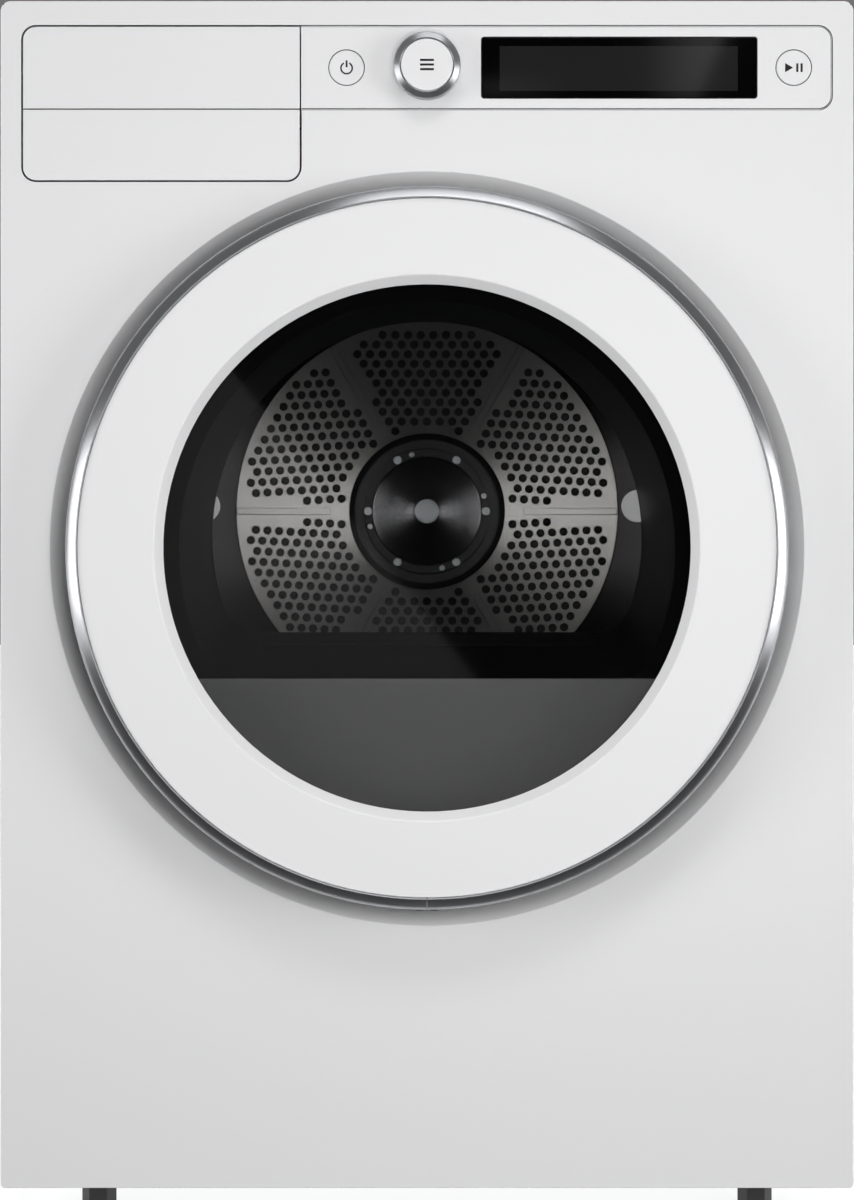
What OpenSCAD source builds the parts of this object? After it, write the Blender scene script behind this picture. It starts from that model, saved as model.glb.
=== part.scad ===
// Front-loading vented clothes dryer with a large round door.
// X runs to the right, Y to the back and Z up. The origin is on the floor,
// under the middle of the machine's whole width and depth.

/* [Cabinet] */
// Width over the side panels
cabinet_w = 595; // [590:1:720]
// Height of the cabinet without its feet
body_h = 828; // [820:1:1000]
// Depth from the front panel's face to the rear panel's face
body_d = 590; // [585:1:700]
// Thickness of the steel sheet
sheet_t = 1; // [0.8:0.1:1.5]
// Outer radius of the cabinet's upper corners
corner_r = 7; // [4:0.5:10]
// Depth of the front panel's folded rim
rim_d = 20; // [18:1:24]
// Height of the worktop
worktop_t = 20; // [18:1:30]
// Height that the feet lift the cabinet
foot_h = 22; // [18:1:30]
// Distance across the corners of a foot's hexagon
foot_w = 25; // [20:1:32]

/* [Control panel] */
// Distance from the cabinet's side to the control panel
panel_margin = 15.7; // [12:0.1:25]
// Distance from the cabinet's top to the control panel
panel_drop = 18; // [14:1:24]
// Height of the control panel
panel_h = 57; // [54:1:70]
// Radius of the control panel's outer corners
panel_r = 9; // [5:0.5:12]
// Thickness of the control panel and of the drawer's front
panel_t = 3; // [2.5:0.1:4]
// Gap around the control panel and the drawer's front
panel_gap = 0.8; // [0.5:0.1:1.2]
// Width of the drawer's front
drawer_w = 193; // [180:1:200]
// Height of the drawer's front
drawer_h = 107; // [100:1:130]
// Length of the drawer's box
drawer_l = 380; // [300:1:440]
// Diameter of the selector knob
knob_d = 46.8; // [40:0.2:50]
// Height that the knob stands out of the control panel
knob_h = 16; // [16:1:28]
// Diameter of the two push buttons
button_d = 24.4; // [20:0.2:30]
// Travel of a push button
button_travel = 1.2; // [0.8:0.1:1.6]
// Height of the display's window
display_h = 42.4; // [34:0.2:46]

/* [Door] */
// Diameter of the door over its trim ring
door_d = 498.4; // [410:0.2:500]
// Distance that the door stands out of the front panel
door_proud = 42; // [38:0.5:50]
// Width of the trim ring, seen from the front
trim_w = 8.7; // [6:0.1:12]
// Width of the white face ring, seen from the front
face_w = 52.6; // [40:0.1:60]
// Width of the bevel between the face ring and the glass
bevel_w = 6.7; // [5:0.1:12]
// Thickness of the door's outer glass
glass_t = 4; // [3:0.2:6]
// Width of the dished recess around the door
recess_w = 14; // [12:0.5:20]
// Depth of the dished recess
recess_d = 12; // [11:0.5:14]
// Radius of the hinge pin
hinge_pin_r = 2.5; // [2:0.1:3]

/* [Drum] */
// Outside diameter of the drum
drum_d = 566; // [480:1:570]
// Length of the drum's cylinder
drum_l = 396; // [320:1:400]
// Length of the drum's rear cone
cone_l = 54; // [40:1:60]
// Thickness of the drum's sheet
drum_t = 1; // [0.8:0.1:1.5]
// Radius of the perforated rear wall
back_r = 161; // [150:1:175]
// Diameter of one air hole
hole_d = 7; // [5:0.1:7.6]
// Spacing of the air holes along a row
hole_pitch = 10.7; // [10:0.1:14]
// Spacing of the rows of air holes
row_pitch = 8.12; // [8:0.01:12]
// Radius of the drum's shaft
shaft_r = 10; // [8:0.5:14]

/* [Air path] */
// Radius of the loading opening
opening_r = 154.5; // [130:0.5:158]
// Outside radius of the exhaust spigot
spigot_r = 49; // [45:0.5:60]
// Length of the exhaust spigot behind the rear panel
spigot_l = 22; // [20:1:30]
// Width of the lint filter
filter_w = 236; // [200:1:244]
// Height of the lint filter
filter_h = 140; // [110:1:150]
// Radius of the blower's fan
fan_r = 72; // [60:1:74]

/* [Hidden] */
$fn = 96;

// Clearances
seat = 0.3;      // between pieces that only lie against each other
slide_gap = 0.8; // between a sliding piece and its guide
run_gap = 0.05;  // between a shaft and its bearing, on the radius
fit_gap = 0.3;   // between a fixed insert and its hole, on the radius
button_gap = 0.4; // around a push button

// Main planes
front_y = door_proud - (body_d + door_proud + spigot_l) / 2;
rear_y = front_y + body_d;
top_z = foot_h + body_h;
half_w = cabinet_w / 2;
inner_w = cabinet_w - 2 * (sheet_t + seat);
top_in_z = top_z - worktop_t;

// Control panel
panel_top = top_z - panel_drop;
panel_bottom = panel_top - panel_h;
panel_left = -half_w + panel_margin;
panel_right = half_w - panel_margin;
drawer_right = panel_left + drawer_w;
drawer_bottom = panel_top - drawer_h;
fascia_left = drawer_right + panel_gap;
control_z = panel_bottom + panel_h / 2;
knob_r = knob_d / 2;
cap_r = knob_r - 4.9;
button_r = button_d / 2;
power_x = (drawer_right - knob_r) / 2;
start_x = panel_right - 26;
display_left = knob_r + 14.7;
display_right = start_x - button_r - 13.5;
board_y = front_y + 22;
stem_r = 4;
shaft_wall = 3.6;

// Door
door_r = door_d / 2;
recess_r = door_r + recess_w;
face_r = door_r - trim_w;
window_r = face_r - face_w - bevel_w;
door_drawer_gap = 8.7;
door_z = drawer_bottom - sqrt(pow(recess_r + door_drawer_gap, 2) - pow(drawer_right, 2));
dish_floor_y = front_y + recess_d;
dish_r = door_r + 3.5;
dish_in_r = window_r + 48;
face_y = front_y - door_proud + 2.5;
glass_y = face_y + bevel_w;
shell_r = window_r + 42;
shell_back_y = dish_floor_y - 2;
trim_back_y = front_y - 13;
pane_t = 4;
mouth_r = window_r - 7;
pane_r = window_r + 8;
hinge_x = door_r - 5.5;
hinge_y = front_y - door_proud / 2 - 1;
hinge_pin_l = 56;
barrel_r = 4.5;
hinge_room = 30;
strike_r = shell_r - 6;

// Bulkhead and loading opening
plate_y = dish_floor_y + 4;
plate_t = 4;
wall = 2.5;
mouth_corner = 21;
sill_corner = 25;
funnel_l = 65;
throat_y = plate_y + plate_t + funnel_l;
opening_z = door_z + 10;
sill_z = opening_z - 69;
mouth_z = door_z - 91;

// Drum
drum_r = drum_d / 2;
drum_headroom = 40;
drum_z = top_in_z - drum_headroom - drum_r;
drum_y = throat_y + 15;
cone_y = drum_y + drum_l;
back_y = cone_y + cone_l;
collar_r = drum_r - drum_t - 4;
hub_r = 65.8;
screw_circle = 48;
lifter_tip_r = drum_r - 85;
roller_r = 32;
roller_w = 14;
roller_a = 32;
roller_reach = drum_r + seat + roller_r;
axle_r = 6;

// Drive and air path
base_t = 3;
floor_z = foot_h + base_t;
tray_top_z = foot_h + 40;
screw_hole_r = 2.3;
motor_x = 150;
motor_z = foot_h + 93;
motor_r = 58;
fan_y = front_y + 64;
fan_l = 44;
blower_wall = 2;
blower_r = fan_r + 10;
motor_y = fan_y + fan_l + 42;
motor_l = 120;
pulley_y = motor_y + motor_l + 15;
pulley_l = 18;
pulley_r = 12;
motor_shaft_r = 6;
belt_t = 2;
belt_w = 10;
idler_r = 20;
duct_x = -110;
duct_z = foot_h + 75;
duct_wall = 1;
filter_t = 14;
pocket_gap = 1.5;
pocket_y = throat_y - 21;
heater_x = 120;
heater_z = foot_h + 110;
heater_w = 160;
heater_h = 140;
heater_l = 80;
foot_inset_x = 62;
foot_inset_y = 80;
foot_stem_r = 5;

// Belt geometry: the two straight runs touch the drum and the pulley at the same two angles.
belt_drum_r = drum_r + seat + belt_t / 2;
belt_pulley_r = pulley_r + seat + belt_t / 2;
belt_dx = motor_x;
belt_dz = motor_z - drum_z;
belt_len = norm([belt_dx, belt_dz]);
belt_dir = atan2(belt_dz, belt_dx);
belt_spread = acos((belt_drum_r - belt_pulley_r) / belt_len);
belt_right = belt_dir + belt_spread;
belt_left = belt_dir - belt_spread;
function on_ring(r, a, cx, cz) = [cx + r * cos(a), cz + r * sin(a)];
slack_a = on_ring(belt_drum_r, belt_left, 0, drum_z);
slack_b = on_ring(belt_pulley_r, belt_left, motor_x, motor_z);
idler_c = (slack_a + slack_b) / 2
  + (idler_r + seat + belt_t / 2) * [cos(belt_left), sin(belt_left)];
idler_w = 14;
idler_y = pulley_y + (pulley_l - idler_w) / 2;
arm_t = 5;
arm_y = idler_y + idler_w + 1;
pivot_r = 5;
pivot_x = duct_x + spigot_r + 34;
pivot_z = floor_z + 16;

// Mains cord and the screws of the back
cord_x = 235;
cord_z = top_in_z - 100;
cord_neck_r = 8;
rear_screws = [for (s = [-1, 1]) for (k = [0 : 4]) [s * (inner_w / 2 - 8), floor_z + 30 + k * (top_in_z - floor_z - 60) / 4]];

// Rows of feet
foot_ys = [front_y + foot_inset_y, rear_y - foot_inset_y];

// Pocket of the lint filter
pocket_x = filter_w / 2 + pocket_gap;
pocket_t = filter_t + 2 * pocket_gap;
pocket_z = sill_z - 8 - filter_h - wall - pocket_gap;

// Water drawer
drawer_y = front_y + panel_t;
drawer_in = 5;
deep_w = 76;
shallow_l = 70;

// Rear brace, bearing and shaft
brace_t = 3;
brace_y = rear_y - sheet_t - seat - brace_t;
bearing_r = shaft_r + 12;
bearing_l = 14;
bearing_y = brace_y - 4 - bearing_l;
shaft_l = bearing_y + bearing_l + 2 - back_y;

// Blower's outlet and lint chamber
blower_out_x = 40;
blower_out_z = motor_z - blower_r + 1;
blower_out_h = 58;
lint_y = plate_y + plate_t + 2;

// A flat plate drawn in X and Z, from depth y over thickness t.
module plate(y, t) {
  translate([0, y + t, 0]) rotate([90, 0, 0]) linear_extrude(t) children();
}

// A turned piece about an axis along Y. The profile holds [radius, depth].
module turned(x, z) {
  translate([x, 0, z]) rotate([-90, 0, 0]) rotate_extrude() children();
}

// A rod or disc along Y.
module rod(x, y, z, r, l) {
  translate([x, y, z]) rotate([-90, 0, 0]) cylinder(r = r, h = l);
}

// A tube along Y.
module tube(x, y, z, r_out, r_in, l) {
  difference() {
    rod(x, y, z, r_out, l);
    rod(x, y - 1, z, r_in, l + 2);
  }
}

// A box given by its lowest corner and its highest corner.
module block(lo, hi) {
  translate(lo) cube(hi - lo);
}

// A rectangle from corner to corner, whose four corners have their own radii:
// left bottom, right bottom, right top, left top.
module rounded_box(lo, hi, radii) {
  difference() {
    translate(lo) square(hi - lo);
    for (i = [0 : 3]) let (
      r = radii[i],
      sx = (i == 0 || i == 3) ? 1 : -1,
      sz = (i < 2) ? 1 : -1,
      px = (sx > 0) ? lo[0] : hi[0],
      pz = (sz > 0) ? lo[1] : hi[1]
    ) {
      if (r > 0) difference() {
        translate([px + sx * (r / 2 - 0.5), pz + sz * (r / 2 - 0.5)]) square(r + 1, center = true);
        translate([px + sx * r, pz + sz * r]) circle(r);
      }
    }
  }
}

// A circle about [0, cz] with a flat bottom at flat_z, and rounded lower corners.
module d_shape(r, cz, flat_z, corner) {
  corner_z = flat_z + corner;
  corner_x = sqrt(pow(r - corner, 2) - pow(cz - corner_z, 2));
  tangent_z = cz + (corner_z - cz) * r / (r - corner);
  hull() {
    intersection() {
      translate([0, cz]) circle(r, $fn = 96);
      translate([-r, tangent_z]) square([2 * r, 3 * r]);
    }
    for (s = [-1, 1]) translate([s * corner_x, corner_z]) circle(corner, $fn = 32);
  }
}

// ---- Cabinet ----

module front_panel() {
  dish = recess_d + sheet_t;
  color("white") difference() {
    union() {
      plate(front_y, rim_d) rounded_box([-half_w, foot_h], [half_w, top_z], [3, 3, corner_r, corner_r]);
    }
    difference() {
      plate(front_y + sheet_t, rim_d)
        rounded_box([-half_w + sheet_t, foot_h + sheet_t], [half_w - sheet_t, top_z - sheet_t],
                    [2, 2, corner_r - sheet_t, corner_r - sheet_t]);
      turned(0, door_z) polygon([
        [dish_in_r, front_y], [recess_r + 1.5 * sheet_t, front_y],
        [dish_r + 1.5 * sheet_t, front_y + dish], [dish_in_r, front_y + dish]
      ]);
    }
    turned(0, door_z) polygon([
      [0, front_y - 1], [recess_r + 1, front_y - 1], [recess_r, front_y],
      [dish_r, dish_floor_y], [dish_in_r, dish_floor_y], [dish_in_r, front_y + dish + 1],
      [0, front_y + dish + 1]
    ]);
    plate(front_y - 1, sheet_t + 2) panel_opening();
  }
}

// The hole in the front panel that the fascia and the drawer's front fill.
module panel_opening() {
  g = panel_gap;
  rounded_box([panel_left - g, panel_bottom - g], [panel_right + g, panel_top + g],
              [0, panel_r + g, panel_r + g, panel_r + g]);
  rounded_box([panel_left - g, drawer_bottom - g], [drawer_right + g, panel_top + g],
              [panel_r + g, panel_r + g, 0, panel_r + g]);
}

module side_panel(s) {
  y0 = front_y + rim_d + 0.5;
  color("white") difference() {
    block([min(s * half_w, s * (half_w - 14)), y0, foot_h], [max(s * half_w, s * (half_w - 14)), rear_y, top_in_z]);
    block([min(s * (half_w - sheet_t), s * (half_w - 15)), y0 + sheet_t, foot_h - 1],
          [max(s * (half_w - sheet_t), s * (half_w - 15)), rear_y + 1, top_in_z + 1]);
  }
}
module left_side_panel() { side_panel(-1); }
module right_side_panel() { side_panel(1); }

module worktop() {
  y0 = front_y + rim_d + 0.5;
  skin = 2;
  color("white") difference() {
    plate(y0, rear_y - y0) rounded_box([-half_w, top_in_z], [half_w, top_z], [0, 0, corner_r, corner_r]);
    plate(y0 + skin, rear_y - y0 - 2 * skin)
      rounded_box([-half_w + skin, top_in_z - 1], [half_w - skin, top_z - skin], [0, 0, corner_r - skin, corner_r - skin]);
  }
}

module rear_panel() {
  louvre_w = 70;
  color("gainsboro") difference() {
    plate(rear_y - sheet_t, sheet_t) translate([-inner_w / 2, floor_z]) square([inner_w, top_in_z - floor_z]);
    rod(0, rear_y - 5, drum_z, back_r + 4, 10);
    block([heater_x - heater_w / 2 + 10, rear_y - 5, heater_z - heater_h / 2 + 10],
          [heater_x + heater_w / 2 - 10, rear_y + 5, heater_z + heater_h / 2 - 10]);
    rod(duct_x, rear_y - 5, duct_z, spigot_r + fit_gap, 10);
    rod(cord_x, rear_y - 5, cord_z, cord_neck_r + fit_gap, 10);
    for (row = [0 : 7]) for (col = [0 : 1])
      block([-half_w + 40 + col * (louvre_w + 20), rear_y - 5, foot_h + 170 + row * 14],
            [-half_w + 40 + louvre_w + col * (louvre_w + 20), rear_y + 5, foot_h + 175 + row * 14]);
    for (p = rear_screws) rod(p[0], rear_y - 5, p[1], screw_hole_r, 10);
  }
}

module base_tray() {
  y0 = front_y + rim_d + 2;
  y1 = rear_y - sheet_t - seat;
  x1 = inner_w / 2;
  color("dimgray") difference() {
    block([-x1, y0, foot_h], [x1, y1, tray_top_z]);
    block([-x1 + wall, y0 + wall, floor_z], [x1 - wall, y1 - wall, tray_top_z + 1]);
    for (p = rear_screws) rod(p[0], y1 - 10, p[1], screw_hole_r, 20);
    for (sx = [-1, 1]) for (y = foot_ys)
      translate([sx * (half_w - foot_inset_x), y, foot_h - 1]) cylinder(r = foot_stem_r + run_gap, h = 30);
    rod(duct_x, y1 - 10, duct_z, spigot_r + 2, 20);
    block([heater_x - heater_w / 2 - 1, y1 - 10, foot_h + 35], [heater_x + heater_w / 2 + 1, y1 + 1, tray_top_z + 1]);
  }
  // Saddles that carry the motor
  color("dimgray") for (k = [0.15, 0.75]) difference() {
    block([motor_x - 42, motor_y + k * motor_l, floor_z], [motor_x + 42, motor_y + k * motor_l + 12, motor_z - 20]);
    rod(motor_x, motor_y - 1, motor_z, motor_r + seat, motor_l + 2);
  }
  // Post and pin on which the idler arm swings
  color("dimgray") {
    block([pivot_x - 12, arm_y + arm_t + seat, floor_z], [pivot_x + 12, arm_y + arm_t + seat + 4, pivot_z + 12]);
    rod(pivot_x, arm_y - 3, pivot_z, pivot_r, arm_t + 8);
  }
}

// A foot: a hexagonal pad on a threaded stem.
module foot(sx, y) {
  translate([sx * (half_w - foot_inset_x), y, 0]) {
    cylinder(r = foot_w / 2, h = foot_h - 6, $fn = 6);
    cylinder(r = foot_stem_r, h = foot_h + 24);
  }
}
module front_left_foot() { color("dimgray") foot(-1, foot_ys[0]); }
module front_right_foot() { color("dimgray") foot(1, foot_ys[0]); }
module rear_left_foot() { color("dimgray") foot(-1, foot_ys[1]); }
module rear_right_foot() { color("dimgray") foot(1, foot_ys[1]); }

module cabinet_screws() {
  color("silver") for (p = rear_screws) {
    rod(p[0], rear_y, p[1], 4, 1.6);
    rod(p[0], rear_y - 10, p[1], 2, 10);
  }
}

// ---- Front bulkhead, with the loading opening and the filter's pocket ----

module front_bulkhead() {
  color("#3c3c3e") difference() {
    union() {
      plate(plate_y, plate_t) difference() {
        rounded_box([-half_w + 6, foot_h + 60], [half_w - 6, drawer_bottom - 14], [10, 10, 10, 10]);
        translate([0, door_z]) circle(mouth_r + 6);
      }
      // Land around the mouth, and the funnel behind it
      difference() {
        union() {
          plate(plate_y, plate_t) translate([0, door_z]) circle(mouth_r + 8);
          hull() {
            plate(plate_y + 1, 1) d_shape(mouth_r + wall, door_z, mouth_z - wall, mouth_corner);
            plate(throat_y - 1, 1) d_shape(opening_r + wall, opening_z, sill_z - wall, sill_corner);
          }
        }
        hull() {
          plate(plate_y - 0.02, 0.01) d_shape(mouth_r, door_z, mouth_z, mouth_corner);
          plate(throat_y + 0.01, 0.01) d_shape(opening_r, opening_z, sill_z, sill_corner);
        }
      }
      // Rear wall and the collar that carries the drum's felt seal
      difference() {
        union() {
          rod(0, throat_y - wall, drum_z, collar_r, wall);
          tube(0, throat_y - wall, drum_z, collar_r, collar_r - wall, 27 + wall);
        }
        plate(throat_y - wall - 1, 40) d_shape(opening_r + 0.5, opening_z, sill_z - 0.5, sill_corner);
      }
      // Pocket for the lint filter, and struts from the plate to the rear wall
      block([-pocket_x - wall, pocket_y - wall, pocket_z], [pocket_x + wall, pocket_y + pocket_t + wall, sill_z - 13]);
      for (a = [50, 130]) strut(a);
    }
    block([-pocket_x, pocket_y, pocket_z + wall], [pocket_x, pocket_y + pocket_t, sill_z + 5]);
    // The window in the pocket's front wall, where the air goes into the lint duct
    block([-pocket_x + 10, pocket_y - wall - 1, pocket_z + 12], [pocket_x - 10, pocket_y + 1, pocket_z + 60]);
    // The slot that the door's strike enters
    block([-strike_r - 5, plate_y - 1, door_z - 14], [-strike_r + 5, plate_y + plate_t + 1, door_z + 14]);
  }
}

module strut(a) {
  p = on_ring(collar_r - 18, a, 0, door_z);
  rod(p[0], plate_y + plate_t - 0.5, p[1], 8, throat_y - wall - plate_y - plate_t + 1);
}

module drum_felt_seal() {
  color("#8a8a86") tube(0, throat_y + 17, drum_z, drum_r - drum_t - 0.6, collar_r, 10);
}

// Two lenses behind the rim of the loading opening, which light the drum.
module drum_lamps() {
  color("#c9cbcc") for (x = [-161, 152]) {
    rod(x, throat_y + 0.2, opening_z + 22, 11.5, 9);
    translate([x, throat_y + 9.2, opening_z + 22]) intersection() {
      sphere(11.5);
      translate([-20, 0, -20]) cube(40);
    }
  }
}

// Felt-lipped ring that leads the warm air from the rear plate into the drum's back.
module drum_rear_seal() {
  r0 = back_r + 26;
  r1 = back_r + 34;
  slope = cone_l / (drum_r - back_r - 1.2);
  lip_y = cone_y + 1;
  color("#8a8a86") turned(0, drum_z) polygon([
    [r0, lip_y + (drum_r - r0) * slope], [r1, lip_y + (drum_r - r1) * slope], [r1, brace_y - seat], [r0, brace_y - seat]
  ]);
}

module door_seal() {
  color("#2b2b2b") turned(0, door_z) polygon([
    [shell_r - 26, shell_back_y + seat], [shell_r - 16, shell_back_y + seat],
    [shell_r - 13, plate_y], [shell_r - 29, plate_y]
  ]);
}

module lint_filter() {
  z1 = sill_z - 8;
  y0 = pocket_y + pocket_gap;
  color("#4a4a4c") difference() {
    block([-filter_w / 2, y0, z1 - filter_h], [filter_w / 2, y0 + filter_t, z1]);
    for (k = [-1 : 1])
      block([k * filter_w / 3.1 - filter_w / 7, y0 - 1, z1 - filter_h + 8],
            [k * filter_w / 3.1 + filter_w / 7, y0 + filter_t - 1.2, z1 - 16]);
    block([-30, y0 - 1, z1 - 9], [30, y0 + 6, z1 + 1]);
  }
}

// ---- Door ----

module door_trim_ring() {
  y = face_y;
  clip_x = 5.1;
  color("silver") {
    difference() {
      turned(0, door_z) polygon([
        [face_r + 0.2, y - 0.9], [face_r + 1, y - 2.5], [door_r - 2.8, y - 0.2],
        [door_r - 1.1, y + 1.6], [door_r - 0.2, y + 4.2], [door_r, y + 7.5],
        [door_r, trim_back_y], [door_r - 3, trim_back_y], [door_r - 3, y + 6.5], [face_r + 0.2, y + 4]
      ]);
      block([-0.4, y - 10, door_z - door_r - 5], [0.4, y + 30, door_z - door_r + 20]);
      for (s = [-1, 1]) block([s * clip_x - 2.5, y + 9, door_z - door_r - 5], [s * clip_x + 2.5, y + 40, door_z - door_r + 4]);
      hinge_notch();
    }
    // The two clips that close the ring at its joint
    for (s = [-1, 1]) block([s * clip_x - 2.4, y + 9, door_z - door_r - 1], [s * clip_x + 2.4, trim_back_y, door_z - door_r + 2.8]);
  }
}

module door_face_ring() {
  y = face_y;
  bevel_r = window_r + bevel_w;
  color("white") difference() {
    turned(0, door_z) polygon([
      [bevel_r, y], [face_r, y], [face_r, trim_back_y], [face_r - wall, trim_back_y],
      [face_r - wall, y + wall], [bevel_r + 3, y + wall], [bevel_r + 3, y + bevel_w], [window_r, y + bevel_w]
    ]);
    hinge_notch();
  }
}

module door_glass() {
  color([0.08, 0.08, 0.09, 0.55]) rod(0, glass_y + 0.2, door_z, window_r + 6, glass_t);
}

// Cuts the room for the hinge out of the door's rim.
module hinge_notch() {
  block([shell_r + 0.5, hinge_y - barrel_r - 6, door_z - hinge_room], [door_r + 5, front_y + 20, door_z + hinge_room]);
}

// The moulding behind the glass: a cone seen through the glass, a back face, and a flange behind the face ring.
module door_inner_shell() {
  y0 = glass_y + glass_t + 0.4;
  y1 = trim_back_y + seat;
  y2 = shell_back_y;
  pane_y = y2 - pane_t - 0.2;
  bore_r = pane_r - 4;
  rebate_r = pane_r + 0.3;
  color("#3c3c3e") difference() {
    turned(0, door_z) polygon([
      [bore_r, y0], [bore_r, pane_y], [rebate_r, pane_y], [rebate_r, y2], [shell_r, y2],
      [shell_r, y1 + wall], [face_r, y1 + wall], [face_r, y1], [shell_r - wall, y1], [shell_r - wall, y2 - wall],
      [rebate_r + wall, y2 - wall], [rebate_r + wall, pane_y - wall], [bore_r + wall, y0]
    ]);
    hinge_notch();
  }
}

module door_inner_pane() {
  color([0.5, 0.52, 0.55, 0.4]) rod(0, shell_back_y - pane_t, door_z, pane_r, pane_t);
}

module door_strike() {
  color("silver") {
    block([-strike_r - 2, shell_back_y, door_z - 9], [-strike_r + 2, plate_y + plate_t + 9, door_z - 5]);
    block([-strike_r - 2, shell_back_y, door_z + 5], [-strike_r + 2, plate_y + plate_t + 9, door_z + 9]);
    block([-strike_r - 2, plate_y + plate_t + 5, door_z - 9], [-strike_r + 2, plate_y + plate_t + 9, door_z + 9]);
  }
}

module door_latch() {
  y0 = plate_y + plate_t + 0.2;
  color("#2b2b2b") difference() {
    block([-strike_r - 12, y0, door_z - 28], [-strike_r + 12, y0 + 26, door_z + 28]);
    block([-strike_r - 5, y0 - 1, door_z - 14], [-strike_r + 5, y0 + 15, door_z + 14]);
  }
}

// Base plate on the recess floor, two ears and the riveted pin.
module hinge_bracket() {
  ear_z = 21;
  ear_h = 6;
  color("silver") {
    block([dish_in_r + 2, dish_floor_y - 2, door_z - hinge_room], [dish_r - 3, dish_floor_y, door_z + hinge_room]);
    for (s = [-1, 1]) {
      block([hinge_x - barrel_r, hinge_y, door_z + s * ear_z - ear_h / 2],
            [hinge_x, dish_floor_y - 1, door_z + s * ear_z + ear_h / 2]);
      translate([hinge_x, hinge_y, door_z + s * ear_z - ear_h / 2]) cylinder(r = barrel_r, h = ear_h);
    }
    translate([hinge_x, hinge_y, door_z - hinge_pin_l / 2]) cylinder(r = hinge_pin_r, h = hinge_pin_l);
  }
}

// The door's half: a barrel on the pin, and a plate screwed to the inner shell's flange.
module hinge_leaf() {
  leaf_h = 34;
  y1 = trim_back_y + seat + wall + 0.2;
  color("silver") difference() {
    union() {
      translate([hinge_x, hinge_y, door_z - leaf_h / 2]) cylinder(r = barrel_r, h = leaf_h);
      block([hinge_x - 2, hinge_y, door_z - leaf_h / 2], [hinge_x + 2, y1 + 3, door_z + leaf_h / 2]);
      block([shell_r + seat, y1, door_z - leaf_h / 2], [hinge_x + 2, y1 + 3, door_z + leaf_h / 2]);
    }
    translate([hinge_x, hinge_y, door_z - leaf_h]) cylinder(r = hinge_pin_r + run_gap, h = 2 * leaf_h);
  }
}

// ---- Control panel ----

module control_fascia() {
  lip = 3;
  color("white") difference() {
    union() {
      plate(front_y, panel_t) rounded_box([fascia_left, panel_bottom], [panel_right, panel_top], [0, panel_r, panel_r, 0]);
      plate(front_y + sheet_t + seat, panel_t - sheet_t - seat)
        rounded_box([fascia_left, panel_bottom - lip], [panel_right + lip, panel_top + lip], [0, panel_r, panel_r, 0]);
    }
    rod(0, front_y - 1, control_z, stem_r + shaft_wall + run_gap, panel_t + 2);
    for (x = [power_x, start_x]) rod(x, front_y - 1, control_z, button_r + button_gap, panel_t + 2);
    plate(front_y - 1, panel_t + 2) display_outline(0.3);
  }
}

module display_outline(g) {
  rounded_box([display_left - g, control_z - display_h / 2 - g], [display_right + g, control_z + display_h / 2 + g],
              [1.8 + g, 1.8 + g, 1.8 + g, 1.8 + g]);
}

module display_glass() {
  color("#0a0a0a") plate(front_y - 0.4, panel_t) display_outline(0);
}

// The circuit board, with the display behind its glass and the three switches.
module control_board() {
  color("#1f5c33") {
    block([fascia_left + 10, board_y, panel_bottom + 4], [panel_right - 8, board_y + 1.6, panel_top - 4]);
    block([display_left + 12, front_y + panel_t + 1, control_z - display_h / 2 + 4],
          [display_right - 12, board_y + 0.1, control_z + display_h / 2 - 4]);
    for (x = [power_x, start_x]) block([x - 3, board_y - 4, control_z - 3], [x + 3, board_y + 0.1, control_z + 3]);
    block([-12, board_y - 5, control_z - 12], [12, board_y + 0.1, control_z + 12]);
  }
}

module push_button(x) {
  color("white") {
    rod(x, front_y - 0.3, control_z, button_r, panel_t);
    rod(x, front_y + panel_t - 0.5, control_z, 4, board_y - 4 - button_travel - seat - front_y - panel_t + 0.5);
  }
}
module power_button() { push_button(power_x); }
module start_button() { push_button(start_x); }

module knob_ring() {
  y = front_y - knob_h;
  color("silver") {
    turned(0, control_z) polygon([
      [cap_r, y + 0.3], [cap_r + 0.5, y], [knob_r - 0.6, y + 1.9], [knob_r, y + 3.4],
      [knob_r - 0.5, front_y - 1], [stem_r + 0.3, front_y - 1],
      [stem_r + 0.3, y + 6.5], [cap_r, y + 6.5]
    ]);
    tube(0, front_y - 1.01, control_z, stem_r + shaft_wall, stem_r + 0.3, board_y - 5.5 - front_y + 1.01);
  }
}

module knob_cap() {
  y = front_y - knob_h;
  color("white") {
    rod(0, y + 0.5, control_z, cap_r - 0.35, 3.5);
    rod(0, y + 3.9, control_z, stem_r, board_y - 5 - button_travel - seat - y - 3.9);
  }
}

// ---- Drawer ----

// The drawer's plan is wide at the front and narrow past the drum.
module drawer_plan(g, y0, extra) {
  x0 = panel_left + drawer_in - g;
  translate([x0, y0]) square([deep_w + 2 * g, drawer_l + extra]);
  translate([x0, y0]) square([drawer_w - 2 * drawer_in + 2 * g, shallow_l + extra]);
}

module drawer_front() {
  color("white") difference() {
    plate(front_y, panel_t) rounded_box([panel_left, drawer_bottom], [drawer_right, panel_top], [panel_r, panel_r, 0, panel_r]);
    // Fine groove that carries on the control panel's lower edge
    block([panel_left - 1, front_y - 1, panel_bottom - 0.8], [drawer_right + 1, front_y + 1.2, panel_bottom]);
  }
}

module drawer_box() {
  z0 = drawer_bottom + 10;
  h = drawer_h - 20;
  color("gainsboro") difference() {
    translate([0, 0, z0]) linear_extrude(h) drawer_plan(0, drawer_y, 0);
    translate([0, 0, z0 + wall]) linear_extrude(h) drawer_plan(-wall, drawer_y + wall, -2 * wall);
  }
}

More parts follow.
